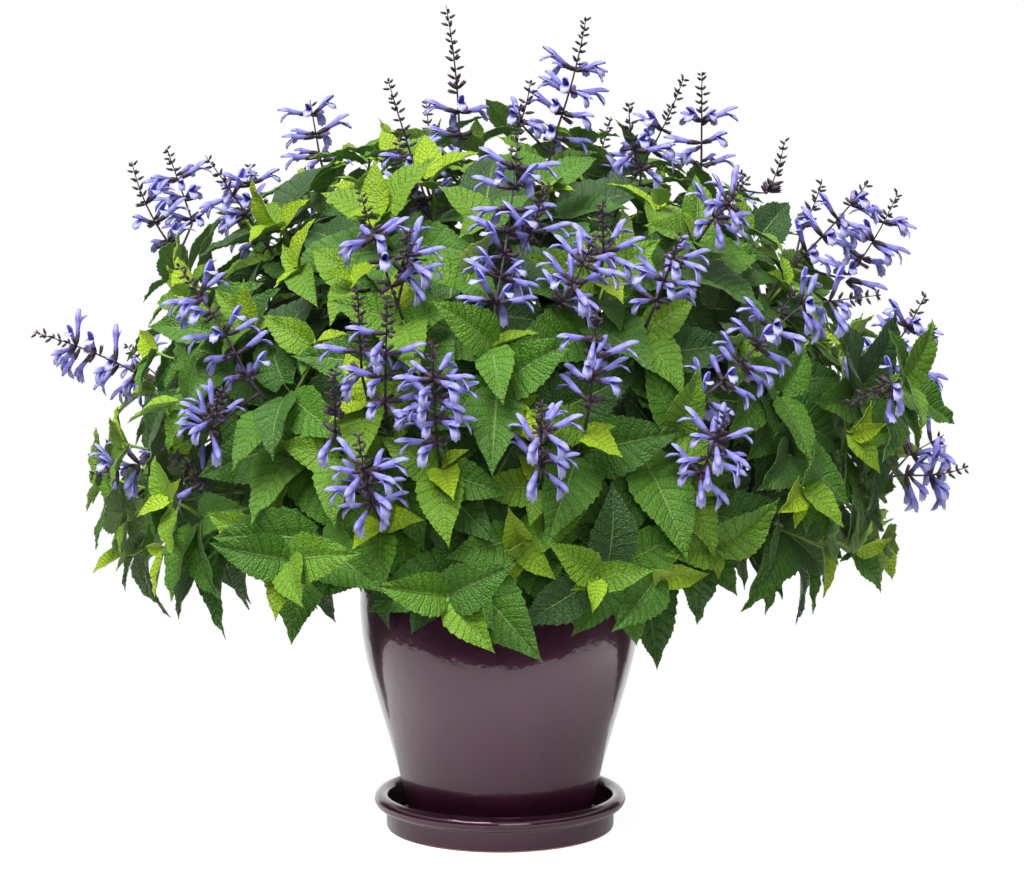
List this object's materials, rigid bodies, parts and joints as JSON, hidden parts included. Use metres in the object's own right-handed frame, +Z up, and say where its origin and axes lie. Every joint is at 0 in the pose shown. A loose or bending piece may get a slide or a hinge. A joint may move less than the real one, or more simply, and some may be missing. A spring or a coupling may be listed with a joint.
{
  "type": "perennial salvia",
  "caption": "Perennial sage in flower: a dome of toothed leaves under spikes of blue two-lipped flowers, in a glazed pot on a glazed saucer.",
  "frame": {"origin": "middle of the saucer's flat underside, where it rests on the ground", "axes": "+Z up along the pot's axis, -Y towards the front that the picture shows, +X to the right of that view"},
  "size_m": [0.9133, 0.846, 0.8119],
  "materials": {
    "glaze": "glossy",
    "soil": "matte",
    "leaf": "satin",
    "flower": "satin"
  },
  "bodies": {
    "root": {"pot": "glaze", "saucer": "glaze", "soil": "soil", "leafy_stem_01": "leaf", "leafy_stem_02": "leaf", "leafy_stem_03": "leaf", "leafy_stem_04": "leaf", "leafy_stem_05": "leaf", "leafy_stem_06": "leaf", "leafy_stem_07": "leaf", "leafy_stem_08": "leaf", "leafy_stem_09": "leaf", "leafy_stem_10": "leaf", "leafy_stem_11": "leaf", "leafy_stem_12": "leaf", "flower_spray_01": "flower", "flower_spray_02": "flower", "flower_spray_03": "flower", "flower_spray_04": "flower", "flower_spray_05": "flower", "flower_spray_06": "flower", "flower_spray_07": "flower", "flower_spray_08": "flower", "flower_spray_09": "flower", "flower_spray_10": "flower", "flower_spray_11": "flower", "flower_spray_12": "flower", "flower_spray_13": "flower", "flower_spray_14": "flower", "flower_spray_15": "flower", "flower_spray_16": "flower", "flower_spray_17": "flower", "flower_spray_18": "flower", "flower_spray_19": "flower", "flower_spray_20": "flower", "flower_spray_21": "flower", "flower_spray_22": "flower", "flower_spray_23": "flower", "flower_spray_24": "flower", "flower_spray_25": "flower", "flower_spray_26": "flower", "flower_spray_27": "flower", "flower_spray_28": "flower", "flower_spray_29": "flower", "flower_spray_30": "flower", "flower_spray_31": "flower", "flower_spray_32": "flower", "flower_spray_33": "flower", "flower_spray_34": "flower", "flower_spray_35": "flower", "flower_spray_36": "flower", "flower_spray_37": "flower", "flower_spray_38": "flower", "flower_spray_39": "flower", "flower_spray_40": "flower", "flower_spray_41": "flower", "flower_spray_42": "flower", "flower_spray_43": "flower", "flower_spray_44": "flower", "flower_spray_45": "flower"}
  },
  "joints": []
}
